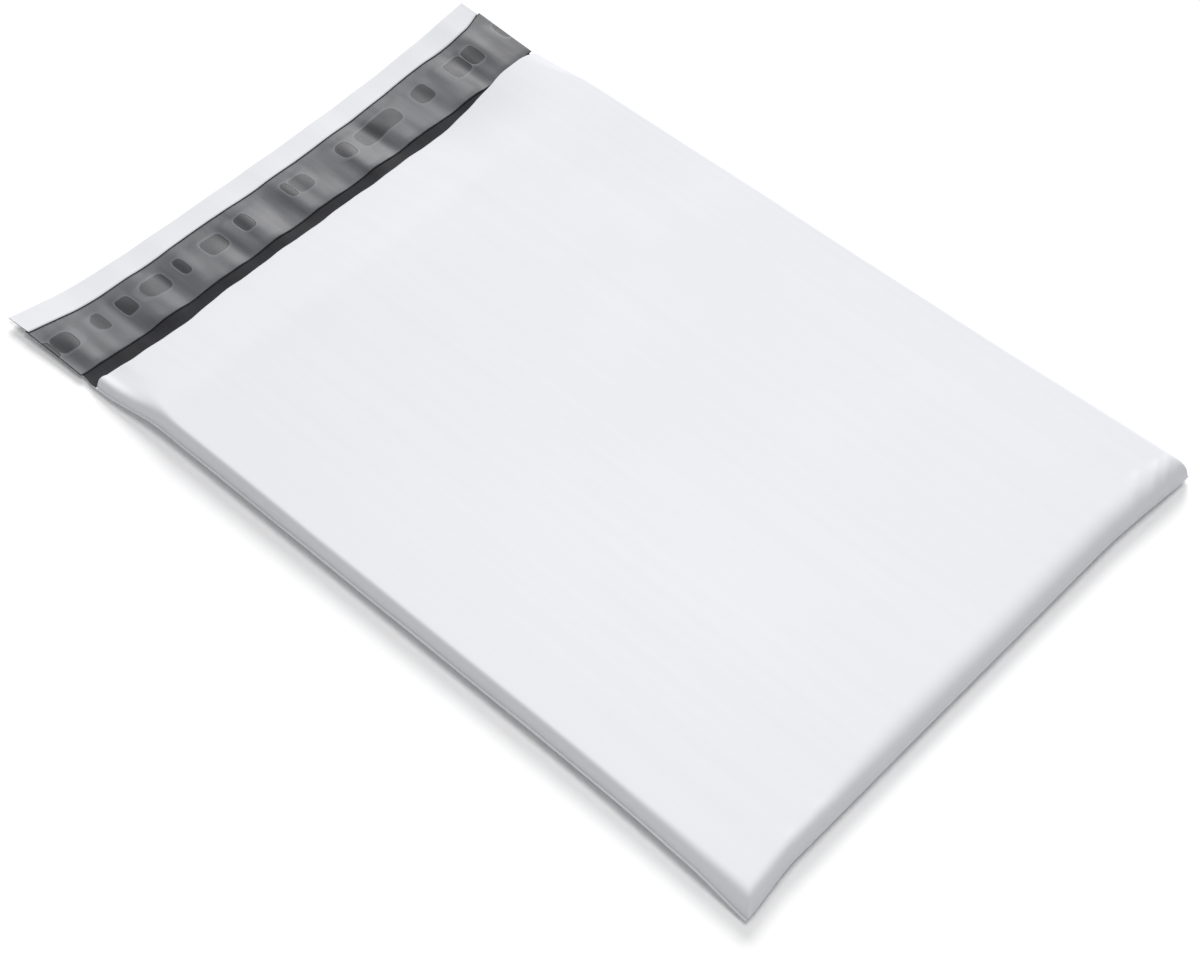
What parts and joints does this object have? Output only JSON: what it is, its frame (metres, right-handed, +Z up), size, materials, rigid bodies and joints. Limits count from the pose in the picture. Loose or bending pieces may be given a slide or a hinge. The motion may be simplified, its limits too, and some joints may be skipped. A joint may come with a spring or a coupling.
{
  "type": "poly mailer bag",
  "caption": "White poly mailer bag lying flat with its adhesive flap open, filled with a thin flat pack of soft goods.",
  "frame": {"origin": "on the surface the bag lies on, under the middle of the opened bag", "axes": "+X across the bag, +Y from the bottom fold towards the flap, +Z up from the back panel"},
  "size_m": [0.229, 0.3504, 0.011],
  "materials": {
    "white_film": "satin co-extruded polyethylene film, white outside and black inside",
    "hot_melt": "tacky hot melt adhesive",
    "liner_film": "clear glossy silicone-coated release film over the dark adhesive",
    "packed_cloth": "folded soft goods"
  },
  "bodies": {
    "root": {"mailer_film": "white_film", "adhesive_strip": "hot_melt", "release_liner": "liner_film", "packed_goods": "packed_cloth"}
  },
  "joints": []
}
